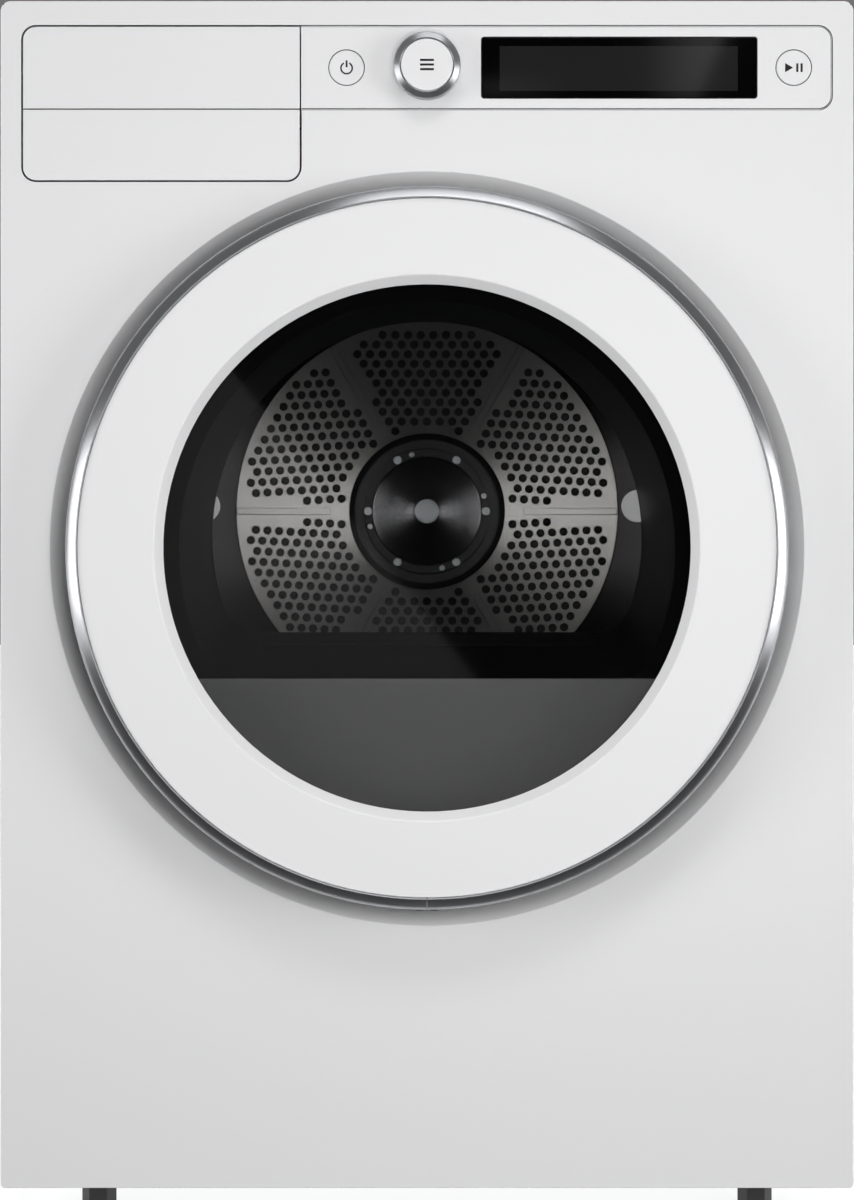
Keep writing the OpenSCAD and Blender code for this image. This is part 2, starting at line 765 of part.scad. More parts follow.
module drawer_housing() {
  z0 = drawer_bottom + 10 - slide_gap;
  h = drawer_h - 20 + 2 * slide_gap;
  g = slide_gap;
  y0 = drawer_y + 1;
  color("#5a5a5c") difference() {
    translate([0, 0, z0 - 1.5]) linear_extrude(h + 3) drawer_plan(g + 1.5, y0, g + 1.5);
    translate([0, 0, z0]) linear_extrude(h) drawer_plan(g, y0 - 1, g + 1);
  }
}

// ---- Drum ----

module drum_shell() {
  r = drum_r;
  t = drum_t;
  bead = 3;
  y = drum_y;
  bead_ys = [for (k = [1 : 3]) y + k * drum_l / 4 + (k == 2 ? -28 : 0)];
  outer = concat(
    [[r, y]],
    [for (b = bead_ys) for (p = [[0, -8], [-bead, -4], [-bead, 4], [0, 8]]) [r + p[0], b + p[1]]],
    [[r, cone_y], [back_r + 1.2, back_y]]
  );
  inner = [for (i = [len(outer) - 1 : -1 : 0]) [outer[i][0] - t, outer[i][1] + (i >= len(outer) - 2 ? -t / 2 : 0)]];
  color("silver") turned(0, drum_z) polygon(concat(outer, inner));
}

// Rows of air holes across one sixth of the rear wall, about the direction a.
module hole_sector(a) {
  first_r = 67.9;
  rows = floor((back_r - 5 - first_r) / row_pitch);
  rotate(a) for (i = [0 : rows]) let (
    row_r = first_r + i * row_pitch,
    shift = (i % 2 == 0) ? 0.5 : 0,
    edge = (i < 4) ? 10 : 17.6,
    reach = row_r * tan(30) - edge
  ) {
    for (j = [-12 : 12]) let (t = (j + shift) * hole_pitch)
      if (abs(t) <= reach && norm([row_r, t]) < back_r - hole_d / 2 - 2 && (i > 0 || abs(abs(t) - 2.5 * hole_pitch) < 1))
        translate([row_r, t]) circle(hole_d / 2, $fn = 24);
  }
}

module drum_back() {
  rib_h = 2.4;
  rib_w = 5.5;
  color("silver") {
    plate(back_y - drum_t, drum_t) translate([0, drum_z]) difference() {
      circle(back_r);
      circle(shaft_r + 14);
      for (k = [0 : 5]) hole_sector(30 + 60 * k);
    }
    for (k = [0 : 5]) translate([0, 0, drum_z]) rotate([0, 60 * k, 0])
      block([hub_r + 16, back_y - drum_t - rib_h, -rib_w / 2], [back_r - 1, back_y - drum_t + 0.01, rib_w / 2]);
  }
}

// Three hollow paddles on the drum's inner wall.
module drum_lifters() {
  y0 = drum_y + 58;
  y1 = cone_y - 40;
  color("#9a9a9a") for (a = [90, 210, 330]) translate([0, 0, drum_z]) rotate([0, a, 0]) difference() {
    lifter_block(0, y0, y1);
    lifter_block(wall, y0 + 2 * wall, y1 - 2 * wall);
  }
}

// A paddle's outer shape, drawn pointing to the right of the axis, or its cavity when g is the wall.
module lifter_block(g, y0, y1) {
  foot = 36 - g;
  crest = 11 - g;
  tip = lifter_tip_r + g;
  slope = 34;
  intersection() {
    plate(y0, y1 - y0) polygon([
      [drum_r, -foot], [tip + 10, -crest], [tip + 3, -crest + 2], [tip, -crest + 6],
      [tip, crest - 6], [tip + 3, crest - 2], [tip + 10, crest], [drum_r, foot]
    ]);
    translate([0, 0, -foot - 1]) linear_extrude(2 * foot + 2)
      polygon([[drum_r + 5, y0], [tip, y0 + slope], [tip, y1 - slope], [drum_r + 5, y1]]);
    rod(0, y0 - 1, 0, drum_r - drum_t - 3 - seat + g, y1 - y0 + 2);
  }
}

module drum_hub() {
  y = back_y - drum_t;
  color("#303032") turned(0, drum_z) polygon([
    [46, y], [hub_r, y], [hub_r, y - 3], [hub_r - 5, y - 5.5], [hub_r - 5, y - 1.6],
    [hub_r - 13, y - 1.6], [hub_r - 13, y - 7], [46, y - 7]
  ]);
}

module hub_cone() {
  y = back_y - drum_t;
  color("silver") turned(0, drum_z) polygon([
    [0, y - 9], [shaft_r, y - 9], [shaft_r + 0.4, y - 3.5], [43, y - 6.6], [45.6, y - 6.6],
    [45.6, y], [0, y]
  ]);
}

module hub_screws() {
  y = back_y - drum_t - 7;
  color("gray") {
    for (k = [0 : 5]) let (p = on_ring(screw_circle + 1.6, 60 * k, 0, drum_z)) rod(p[0], y - 2, p[1], 3.5, 2);
    for (k = [0 : 3]) let (p = on_ring(screw_circle + 1.6, 15 + 90 * k, 0, drum_z)) rod(p[0], y - 1.2, p[1], 2.4, 1.2);
  }
}

module drum_shaft() {
  color("gray") {
    rod(0, back_y, drum_z, shaft_r, shaft_l);
    rod(0, back_y, drum_z, shaft_r + 12, 3);
  }
}

// A cross plate with a disc that carries the bearing, and windows that let the warm air through.
module rear_brace() {
  disc_r = back_r + 48;
  spoke = 26;
  color("gainsboro") difference() {
    union() {
      plate(brace_y, brace_t) translate([0, drum_z]) difference() {
        union() {
          circle(disc_r);
          square([inner_w - 4, 90], center = true);
        }
        difference() {
          circle(back_r);
          circle(bearing_r + 20);
          square([2 * disc_r, spoke], center = true);
          square([spoke, 2 * disc_r], center = true);
        }
      }
      rod(0, bearing_y, drum_z, bearing_r + 8, brace_y - bearing_y + 0.5);
    }
    rod(0, bearing_y - 1, drum_z, bearing_r + 0.02, bearing_l + 1);
    rod(0, bearing_y - 1, drum_z, shaft_r + 4, 60);
  }
}

module drum_bearing() {
  color("gray") tube(0, bearing_y, drum_z, bearing_r, shaft_r + run_gap, bearing_l);
}

module roller(s) {
  a = -90 + s * roller_a;
  p = on_ring(roller_reach, a, 0, drum_z);
  color("#2b2b2b") tube(p[0], drum_y + 12, p[1], roller_r, axle_r + run_gap, roller_w);
}
module left_roller() { roller(-1); }
module right_roller() { roller(1); }

module roller_axles() {
  color("gray") for (s = [-1, 1]) let (p = on_ring(roller_reach, -90 + s * roller_a, 0, drum_z)) {
    rod(p[0], plate_y + plate_t + 0.2, p[1], 12, drum_y + 10 - plate_y - plate_t - 0.2);
    rod(p[0], drum_y + 9, p[1], axle_r, roller_w + 10);
  }
}

// ---- Drive ----

module motor_body() {
  color("dimgray") tube(motor_x, motor_y, motor_z, motor_r, motor_shaft_r + run_gap, motor_l);
}

// The shaft carries the fan in front and has the belt's pulley turned on its rear end.
module motor_shaft() {
  y = pulley_y;
  end_y = pulley_y + pulley_l;
  color("gray") turned(motor_x, motor_z) polygon([
    [0, fan_y + 6], [motor_shaft_r, fan_y + 6], [motor_shaft_r, y], [pulley_r + 4, y], [pulley_r + 4, y + 2],
    [pulley_r, y + 3], [pulley_r, end_y - 3], [pulley_r + 4, end_y - 2], [pulley_r + 4, end_y], [0, end_y]
  ]);
}

module blower_fan() {
  blades = 16;
  color("#4a4a4c") {
    tube(motor_x, fan_y + fan_l - 3, motor_z, fan_r, motor_shaft_r, 3);
    tube(motor_x, fan_y + fan_l - 20, motor_z, 14, motor_shaft_r, 18);
    tube(motor_x, fan_y + 2, motor_z, fan_r, fan_r - 16, 2);
    for (k = [0 : blades - 1]) translate([motor_x, 0, motor_z]) rotate([0, k * 360 / blades, 0])
      block([fan_r - 16, fan_y + 3, -1], [fan_r - 1, fan_y + fan_l - 2, 1]);
  }
}

module drive_belt() {
  y = pulley_y + pulley_l / 2 - belt_w / 2;
  color("#1c1c1c") plate(y, belt_w) {
    belt_arc(0, drum_z, belt_drum_r, belt_right, belt_left + 360);
    belt_arc(motor_x, motor_z, belt_pulley_r, belt_left, belt_right);
    for (a = [belt_left, belt_right]) let (
      p = on_ring(belt_drum_r, a, 0, drum_z),
      q = on_ring(belt_pulley_r, a, motor_x, motor_z)
    )
      translate(p) rotate(atan2(q[1] - p[1], q[0] - p[0])) translate([-0.05, -belt_t / 2])
        square([norm(q - p) + 0.1, belt_t]);
  }
}

// Part of a flat ring between two angles, which must be under a full turn.
module belt_arc(cx, cz, r, a0, a1) {
  far = 3 * r;
  steps = 6;
  translate([cx, cz]) intersection() {
    difference() {
      circle(r + belt_t / 2);
      circle(r - belt_t / 2);
    }
    polygon(concat([[0, 0]], [for (i = [0 : steps]) let (a = a0 + (a1 - a0) * i / steps) far * [cos(a), sin(a)]]));
  }
}

module idler_pulley() {
  color("#d8d8d8") tube(idler_c[0], idler_y, idler_c[1], idler_r, axle_r + run_gap, idler_w);
}

// A sprung arm that presses the idler pulley on the belt.
module idler_arm() {
  reach = [idler_c[0] - pivot_x, idler_c[1] - pivot_z];
  color("silver") difference() {
    union() {
      plate(arm_y, arm_t) translate([pivot_x, pivot_z]) rotate(atan2(reach[1], reach[0])) {
        translate([0, -9]) square([norm(reach), 18]);
        circle(12);
        translate([norm(reach), 0]) circle(10);
      }
      rod(idler_c[0], idler_y - 1, idler_c[1], axle_r, arm_y - idler_y + 1.5);
    }
    rod(pivot_x, arm_y - 1, pivot_z, pivot_r + run_gap, arm_t + 2);
  }
}

// ---- Air path ----

// Outline of the chamber that takes the air from the lint filter down to the blower's inlet.
module lint_outline() {
  z1 = pocket_z + 66;
  bottom = tray_top_z + 1;
  polygon([
    [-pocket_x, z1], [pocket_x, z1], [pocket_x, pocket_z - 4], [motor_x + 56, motor_z + 30],
    [motor_x + 56, motor_z - 34], [motor_x + 34, bottom], [motor_x - 34, bottom],
    [motor_x - 60, motor_z - 20], [-pocket_x, pocket_z - 4]
  ]);
}

// Scroll with its outlet to the left, and the lint chamber in front of it, in one moulding.
module blower_housing() {
  y0 = fan_y - 4;
  l = fan_l + 8;
  w = blower_wall;
  color("#4f4f52") difference() {
    union() {
      rod(motor_x, y0, motor_z, blower_r, l);
      block([blower_out_x, y0, blower_out_z], [motor_x, y0 + l, blower_out_z + blower_out_h]);
      plate(lint_y, y0 - lint_y + w / 2) lint_outline();
    }
    rod(motor_x, y0 + w, motor_z, blower_r - w, l - 2 * w);
    block([blower_out_x - 1, y0 + w, blower_out_z + w], [motor_x, y0 + l - w, blower_out_z + blower_out_h - w]);
    plate(lint_y + w, y0 - lint_y - 2 * w) offset(delta = -w) lint_outline();
    rod(motor_x, y0 - 3 * w, motor_z, 46, 5 * w);
    rod(motor_x, y0 + l - w - 1, motor_z, motor_shaft_r + 3, w + 2);
    block([-pocket_x + 10, y0 - 3 * w, pocket_z + 12], [pocket_x - 10, y0 + 20, pocket_z + 60]);
  }
}

// A flat duct from the blower, an elbow box and a pipe that ends in the spigot behind the rear panel.
module exhaust_duct() {
  y0 = fan_y - 4;
  y1 = y0 + fan_l + 8;
  w = duct_wall;
  x0 = duct_x - spigot_r - 4;
  x1 = duct_x + spigot_r + 4;
  top = duct_z + spigot_r + 4;
  color("silver") difference() {
    union() {
      block([x0, y0, blower_out_z], [blower_out_x - seat, y1, blower_out_z + blower_out_h]);
      block([x0, y0, blower_out_z], [x1, y1, top]);
      rod(duct_x, y1 - 0.5, duct_z, spigot_r - 1, rear_y - y1 + 0.5);
      rod(duct_x, rear_y, duct_z, spigot_r, spigot_l);
    }
    block([x0 + w, y0 + w, blower_out_z + w], [blower_out_x + 1, y1 - w, blower_out_z + blower_out_h - w]);
    block([x0 + w, y0 + w, blower_out_z + w], [x1 - w, y1 - w, top - w]);
    rod(duct_x, y1 - 5, duct_z, spigot_r - 1.5, rear_y + spigot_l - y1 + 10);
  }
}

module heater_housing() {
  y1 = rear_y - sheet_t - seat;
  w = 1;
  lo = [heater_x - heater_w / 2, y1 - heater_l, heater_z - heater_h / 2];
  hi = [heater_x + heater_w / 2, y1, heater_z + heater_h / 2];
  color("silver") difference() {
    block(lo, hi);
    block(lo + [w, w, w], hi + [-w, 1, -w]);
    for (k = [0 : 9]) block([lo[0] + 14 + k * 14, lo[1] - 1, lo[2] + 20], [lo[0] + 20 + k * 14, lo[1] + 3, hi[2] - 20]);
  }
}

module heater_coils() {
  y1 = rear_y - sheet_t - seat;
  color("#b87333") for (k = [0 : 4]) translate([heater_x - heater_w / 2 + 1.2, y1 - heater_l / 2, heater_z - 44 + 22 * k])
    rotate([0, 90, 0]) cylinder(r = 5, h = heater_w - 2.4);
}

module rear_duct_cover() {
  d = 14;
  t = 1;
  color("gainsboro") difference() {
    plate(rear_y, d) cover_outline(0);
    plate(rear_y - 1, d - t + 1) cover_outline(t);
  }
}

module cover_outline(g) {
  translate([0, drum_z]) circle(back_r + 20 - g);
  x0 = heater_x - heater_w / 2 - 4 + g;
  x1 = heater_x + heater_w / 2 + 4 - g;
  z0 = heater_z - heater_h / 2 - 4 + g;
  polygon([[x0, z0], [x1, z0], [x1, z0 + heater_h + 8 - 2 * g], [back_r * 0.55, drum_z], [0, drum_z],
           [x0, z0 + heater_h + 8 - 2 * g]]);
}

module cord_gland() {
  color("#1c1c1c") difference() {
    union() {
      rod(cord_x, rear_y - 8, cord_z, cord_neck_r, 8.5);
      rod(cord_x, rear_y, cord_z, cord_neck_r + 4, 4);
      rod(cord_x, rear_y + 3.9, cord_z, cord_neck_r - 1, 10);
    }
    rod(cord_x, rear_y - 20, cord_z, 4, 60);
  }
}

front_panel();
left_side_panel();
right_side_panel();
worktop();
rear_panel();
base_tray();
front_left_foot();
front_right_foot();
rear_left_foot();
rear_right_foot();
front_bulkhead();
drum_felt_seal();
door_seal();
door_latch();
hinge_bracket();
drum_lamps();
control_fascia();
display_glass();
control_board();
drawer_housing();
rear_duct_cover();
heater_housing();
heater_coils();
rear_brace();
drum_bearing();
drum_rear_seal();
exhaust_duct();
blower_housing();
motor_body();
drive_belt();
idler_arm();
roller_axles();
cord_gland();
cabinet_screws();
drum_shell();
drum_back();
drum_lifters();
drum_hub();
hub_cone();
hub_screws();
drum_shaft();
door_trim_ring();
door_face_ring();
door_glass();
door_inner_shell();
door_inner_pane();
door_strike();
hinge_leaf();
drawer_front();
drawer_box();
knob_ring();
knob_cap();
power_button();
start_button();
lint_filter();
motor_shaft();
blower_fan();
left_roller();
right_roller();
idler_pulley();
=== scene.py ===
"""A front-loading clothes dryer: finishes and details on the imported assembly, in metres."""

import math

import bmesh
import bpy
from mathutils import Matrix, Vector


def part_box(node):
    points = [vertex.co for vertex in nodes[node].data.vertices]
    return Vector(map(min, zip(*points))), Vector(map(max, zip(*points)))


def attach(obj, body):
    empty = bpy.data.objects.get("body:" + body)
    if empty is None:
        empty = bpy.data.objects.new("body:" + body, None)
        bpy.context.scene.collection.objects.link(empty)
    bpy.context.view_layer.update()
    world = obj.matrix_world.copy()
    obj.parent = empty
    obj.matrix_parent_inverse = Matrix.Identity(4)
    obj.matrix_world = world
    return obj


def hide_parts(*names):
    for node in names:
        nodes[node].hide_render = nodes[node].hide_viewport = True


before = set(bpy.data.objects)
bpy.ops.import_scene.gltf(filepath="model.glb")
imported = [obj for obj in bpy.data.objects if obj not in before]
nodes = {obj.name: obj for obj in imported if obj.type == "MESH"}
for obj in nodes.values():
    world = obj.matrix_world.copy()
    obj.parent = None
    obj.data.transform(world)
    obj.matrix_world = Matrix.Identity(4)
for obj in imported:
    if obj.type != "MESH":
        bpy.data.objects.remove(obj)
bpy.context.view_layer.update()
MM = 0.001


# Camera
# It stands straight in front of the door, a little above the door's middle, far enough away for
# little perspective, and the cabinet's front fills the picture's width.

front_low, front_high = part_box("front_panel")
front_y = front_low.y
view_distance = 2.6
side_margin = 854 / 853
top_margin = 0.7 * MM
frame_width = (front_high.x - front_low.x) * side_margin
frame_height = frame_width * 1200 / 854

bpy.ops.object.camera_add(
    location=(0, front_y - view_distance, front_high.z + top_margin - frame_height / 2),
    rotation=(math.radians(90), 0, 0),
)
camera = bpy.context.object
camera.data.sensor_fit = "HORIZONTAL"
camera.data.lens = camera.data.sensor_width * view_distance / frame_width
bpy.context.scene.camera = camera
bpy.context.scene.view_settings.view_transform = "Standard"


# Floor, world and lamps
# A white, softly lit floor without an edge in sight, a pale surround, a large soft box on each side,
# a long one overhead and a weak fill low in front. A black cloth hangs behind the camera and another
# lies in front of the feet, with pale strips before the first, and only mirroring surfaces see these.


def colour(hexa):
    """sRGB as written on a paint chart to the linear numbers of a shader."""
    parts = [int(hexa[i : i + 2], 16) / 255 for i in (1, 3, 5)]
    return tuple(c / 12.92 if c <= 0.04045 else ((c + 0.055) / 1.055) ** 2.4 for c in parts) + (1.0,)


def new_finish(name, **sockets):
    """A new material whose shader has these sockets, and the shader."""
    material = bpy.data.materials.new(name)
    material.use_nodes = True
    shader = material.node_tree.nodes["Principled BSDF"]
    for socket, value in sockets.items():
        shader.inputs[socket.replace("_", " ")].default_value = value
    return material, shader


def add(material, kind, feeds=(), **settings):
    """Adds a node with its settings. feeds holds (socket, value) or (socket, node, output)."""
    node = material.node_tree.nodes.new("ShaderNode" + kind)
    for key, value in settings.items():
        setattr(node, key, value)
    for socket, source, *output in feeds:
        if output:
            material.node_tree.links.new(source.outputs[output[0]], node.inputs[socket])
        else:
            node.inputs[socket].default_value = source
    return node


def wire(material, source, output, target, socket):
    """Links a node's output to another node's socket."""
    material.node_tree.links.new(source.outputs[output], target.inputs[socket])


matt_floor, floor_shader = new_finish("matt_floor", Base_Color=colour("#8A8A8A"), Roughness=0.9)
floor_shader.inputs["Emission Color"].default_value = colour("#FFFFFF")
floor_shader.inputs["Emission Strength"].default_value = 0.85
bpy.ops.mesh.primitive_plane_add(size=60, location=(0, 3, 0))
floor = bpy.context.object
floor.name = "floor"
floor.data.materials.append(matt_floor)
floor.visible_diffuse = False

world = bpy.data.worlds.new("surround")
bpy.context.scene.world = world
world.use_nodes = True
world.node_tree.nodes["Background"].inputs["Color"].default_value = colour("#FFFFFF")
world.node_tree.nodes["Background"].inputs["Strength"].default_value = 0.17


def soft_box(name, place, aim, size, power, mirrored=True, spread=180):
    """A rectangular lamp at place that looks at aim. The camera never sees it, mirrors if asked."""
    lamp = bpy.data.lights.new(name, "AREA")
    lamp.shape = "RECTANGLE"
    lamp.size, lamp.size_y = size
    lamp.energy = power
    lamp.spread = math.radians(spread)
    holder = bpy.data.objects.new(name, lamp)
    bpy.context.scene.collection.objects.link(holder)
    holder.location = place
    holder.rotation_euler = (Vector(aim) - Vector(place)).to_track_quat("-Z", "Y").to_euler()
    holder.visible_camera = False
    holder.visible_glossy = mirrored
    return holder


# Name, place, aim, size in metres, power in watts, whether mirrors show it. The first four light the
# front; the others light the sides, the back and the top, and don't reach the front.
for lamp in (
    ("right_box", (1.8, front_y - 1.2, 0.55), (0.15, front_y, 0.47), (0.9, 0.9), 14, True),
    ("left_box", (-1.8, front_y - 1.2, 0.6), (-0.15, front_y, 0.5), (0.8, 0.9), 11, True),
    ("top_box", (0.2, front_y - 1.4, 2.32), (0.03, front_y, 0.5), (1.2, 0.6), 11.5, True),
    ("front_fill", (0.12, front_y - 1.2, 0.5), (0.04, front_y, 0.46), (0.5, 0.4), 5.6, False),
    ("side_box_-1", (-2.2, 0.2, 0.9), (-0.3, 0, 0.45), (1.0, 1.0), 18, False),
    ("side_box_1", (2.2, 0.2, 0.9), (0.3, 0, 0.45), (1.0, 1.0), 18, False),
    ("back_box", (0.3, 2.5, 1.2), (0, 0.3, 0.45), (1.6, 1.0), 26, False),
    ("roof_box", (0, 0.4, 2.6), (0, 0.05, 0.85), (1.0, 0.8), 14, False),
):
    soft_box(*lamp)


def mirrored_only(piece):
    """Leaves a piece to be seen in glossy surfaces and by nothing else."""
    piece.visible_camera = False
    piece.visible_diffuse = False
    piece.visible_transmission = False
    piece.visible_shadow = False


# Cotton velvet, dyed black: it swallows nearly all light.
black_cloth, _ = new_finish(
    "black_cloth", Base_Color=colour("#020202"), Roughness=1.0, Specular_IOR_Level=0.0
)
for name, place, size, tilt in (
    ("black_cloth", (0, front_y - 3.6, 0.3), (4.4, 2.6, 1), 90),
    ("black_floor_cloth", (0, front_y - 1.36, 0.002), (3.4, 2.6, 1), 0),
):
    bpy.ops.object.select_all(action="DESELECT")
    bpy.ops.mesh.primitive_plane_add(size=1, location=place, rotation=(math.radians(tilt), 0, 0))
    cloth = bpy.context.object
    cloth.name = name
    cloth.scale = size
    cloth.data.materials.append(black_cloth)
    mirrored_only(cloth)


def flat(name, outline, y):
    """A flat face at depth y, from its outline of (x, z) points."""
    bpy.ops.object.select_all(action="DESELECT")
    bpy.ops.mesh.primitive_circle_add(vertices=len(outline), radius=1, fill_type="NGON")
    piece = bpy.context.object
    piece.name = name
    for vertex, (x, z) in zip(piece.data.vertices, outline):
        vertex.co = (x, y, z)
    return piece


def pale_strip(name, outline, strength, dark_end=None, bright_end=None):
    """A flat glowing card in front of the cloth. It fades towards dark_end, an x, where it has one."""
    glow, shader = new_finish(name, Base_Color=colour("#000000"), Emission_Color=colour("#FFFFFF"))
    shader.inputs["Emission Strength"].default_value = strength
    if dark_end is not None:
        place = add(glow, "TexCoord")
        split = add(glow, "SeparateXYZ", [("Vector", place, "Object")])
        ends = [("From Min", dark_end), ("From Max", bright_end), ("To Max", strength)]
        fade = add(glow, "MapRange", [("Value", split, "X"), *ends])
        wire(glow, fade, "Result", shader, "Emission Strength")
    card = flat(name, outline, front_y - 3.2)
    card.data.materials.append(glow)
    mirrored_only(card)


# Their edges cross the door's glass and the display slantwise.
veil_left = [(-1.2, 0.307), (0.08, 0.307), (-0.28, 0.76), (-0.5, 1.05), (-1.2, 1.05)]
veil_right = [(0.45, 0.95), (0.75, 0.45), (1.4, 0.3), (1.4, 1.15), (0.62, 1.15)]
wedge = [(0.3, 1.21), (0.42, 1.21), (0.47, 1.33), (0.3, 1.33)]
band = [(0.085, 1.217), (0.22, 1.217), (0.22, 1.241), (0.085, 1.241)]
pale_strip("veil_left", veil_left, 0.5)
pale_strip("veil_right", veil_right, 0.5)
pale_strip("display_wedge", wedge, 1.1, dark_end=0.34, bright_end=0.47)
pale_strip("display_band", band, 0.4, dark_end=0.22, bright_end=0.085)


# Sheet metal cabinet
# Zinc-coated steel sheet, folded and welded, with a satin white powder coat baked on. The coat shows
# a very fine orange peel and softly rounded folds.


def choose(piece):
    """Deselects everything and makes this piece the active one."""
    bpy.ops.object.select_all(action="DESELECT")
    piece.select_set(True)
    bpy.context.view_layer.objects.active = piece


def from_cad(name, joined=True):
    """A merged copy of a part, ready to be worked on. joined makes one face of each flat patch."""
    piece = bpy.data.objects.new(name + "_finished", nodes[name].data.copy())
    bpy.context.scene.collection.objects.link(piece)
    choose(piece)
    bpy.ops.object.mode_set(mode="EDIT")
    bpy.ops.mesh.select_all(action="SELECT")
    bpy.ops.mesh.customdata_custom_splitnormals_clear()
    bpy.ops.mesh.remove_doubles(threshold=0.002 * MM)
    if joined:
        bpy.ops.mesh.dissolve_limited(angle_limit=math.radians(0.2), use_dissolve_boundaries=False)
    bpy.ops.object.mode_set(mode="OBJECT")
    return piece


def round_edges(piece, width, segments=2, angle=28, clamp=True, smooth=50):
    """Rounds every edge sharper than the angle, and keeps flat faces flat in the light."""
    choose(piece)
    edge = piece.modifiers.new("edge", "BEVEL")
    edge.width = width
    edge.segments = segments
    edge.limit_method = "ANGLE"
    edge.angle_limit = math.radians(angle)
    edge.use_clamp_overlap = clamp
    bpy.ops.object.modifier_apply(modifier=edge.name)
    bpy.ops.object.shade_smooth_by_angle(angle=math.radians(smooth))
    even = piece.modifiers.new("even", "WEIGHTED_NORMAL")
    even.keep_sharp = True
    bpy.ops.object.modifier_apply(modifier=even.name)


def dress(piece, material, body, slot, *stands_for):
    """Gives a piece its one material and its body, and lets it stand for CAD parts. slot is not used.
    """
    piece.data.materials.clear()
    piece.data.materials.append(material)
    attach(piece, body)
    if stands_for:
        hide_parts(*stands_for)
    return piece


def finish(name, material, body, slot, width, *rounding, joined=True, **edges):
    """A CAD part with its edges rounded and its real material, in the part's own place."""
    piece = from_cad(name, joined)
    round_edges(piece, width, *rounding, **edges)
    return dress(piece, material, body, slot, name)


def repaint(material, *names):
    """Gives CAD parts that keep their own shape their real material."""
    for name in names:
        nodes[name].data.materials.clear()
        nodes[name].data.materials.append(material)


def grain(material, shader, size, strength, rough, depth=0.05 * MM):
    """Bump, and roughness between two limits, from one noise whose grains are size metres across."""
    place = add(material, "TexCoord")
    turn = add(material, "Mapping", [("Vector", place, "Object")])
    noise = add(
        material, "TexNoise", [("Vector", turn, "Vector"), ("Scale", 1 / size), ("Detail", 3.0)]
    )
    bump = add(
        material, "Bump", [("Height", noise, "Fac"), ("Strength", strength), ("Distance", depth)]
    )
    wire(material, bump, "Normal", shader, "Normal")
    low, high = rough
    limits = add(material, "MapRange", [("Value", noise, "Fac"), ("To Min", low), ("To Max", high)])
    wire(material, limits, "Result", shader, "Roughness")


# Painted shade: a black, dull finish on the walls of the gaps and the groove round the control panel,
# standing for the gaps' shade.
painted_gap_shade, shader = new_finish("painted_gap_shade_black", Base_Color=colour("#0C0C0D"), Roughness=0.95)
grain(painted_gap_shade, shader, 1.0 * MM, 0.5, (0.9, 1.0))


def paint_shade_or_finish(piece, test, second_material=painted_gap_shade):
    """Puts painted gap shade, or another material, on the faces whose middle and normal pass the test.
    """
    piece.data.materials.append(second_material)
    for face in piece.data.polygons:
        if test(face.center, face.normal):
            face.material_index = 1


# Polyester powder coat on steel: satin, with an orange peel of about 1.6 mm.
powder_coat, shader = new_finish("powder_coat", Base_Color=colour("#EDEDEE"), Roughness=0.36)
grain(powder_coat, shader, 1.6 * MM, 0.10, (0.33, 0.40), 0.03 * MM)

for name, width in (
    ("front_panel", 0.5 * MM),
    ("left_side_panel", 0.4 * MM),
    ("right_side_panel", 0.4 * MM),
    ("worktop", 0.8 * MM),
):
    piece = finish(name, powder_coat, "cabinet", "white_paint", width)
    if name == "front_panel":
        # Painted shade only on the walls of the control panel's openings: not on the outer folds or the
        # door's recess.
        panel_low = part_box("control_fascia")[0].z - 55 * MM
        dish_low, dish_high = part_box("door_trim_ring")
        dish_z = (dish_low.z + dish_high.z) / 2
        dish_r = dish_high.z - dish_z + 19 * MM
        paint_shade_or_finish(
            piece,
            lambda middle, normal: abs(normal.y) < 0.95
            and panel_low < middle.z < front_high.z - 2 * MM
            and abs(middle.x) < front_high.x - 2 * MM
            and math.hypot(middle.x, middle.z - dish_z) > dish_r,
        )


# Feet
# Hexagonal pads of hard black nylon on zinc-plated threaded stems, screwed into the base.

# Glass-filled nylon, moulded: near black, satin, with a fine grain.
black_nylon, shader = new_finish("black_nylon", Base_Color=colour("#2B2B2C"), Roughness=0.42)
grain(black_nylon, shader, 0.7 * MM, 0.25, (0.38, 0.5))

for side in ("front_left", "front_right", "rear_left", "rear_right"):
    finish(side + "_foot", black_nylon, "foot_" + side, "foot_plastic", 0.9 * MM, 3)


# Control panel
# A moulded ABS fascia clipped in from behind, flush with the front panel, with a dark hairline gap.

# ABS, moulded and lightly textured: white, satin, with a spark-eroded grain of about 0.5 mm.
white_abs, shader = new_finish("white_abs", Base_Color=colour("#EEEEEF"), Roughness=0.34)
grain(white_abs, shader, 0.5 * MM, 0.10, (0.31, 0.38), 0.02 * MM)

piece = finish("control_fascia", white_abs, "cabinet", "white_plastic", 0.35 * MM)
# Painted shade: the walls of the fascia's hairline gap are black.
paint_shade_or_finish(piece, lambda middle, normal: abs(normal.y) < 0.95 and middle.y < front_y + 4 * MM)

# Printed marks: a screen-printed dark grey ink, a few hundredths of a millimetre thick.
grey_ink, shader = new_finish("grey_ink", Base_Color=colour("#121213"), Roughness=0.6)
grain(grey_ink, shader, 0.15 * MM, 0.2, (0.55, 0.65), 0.01 * MM)


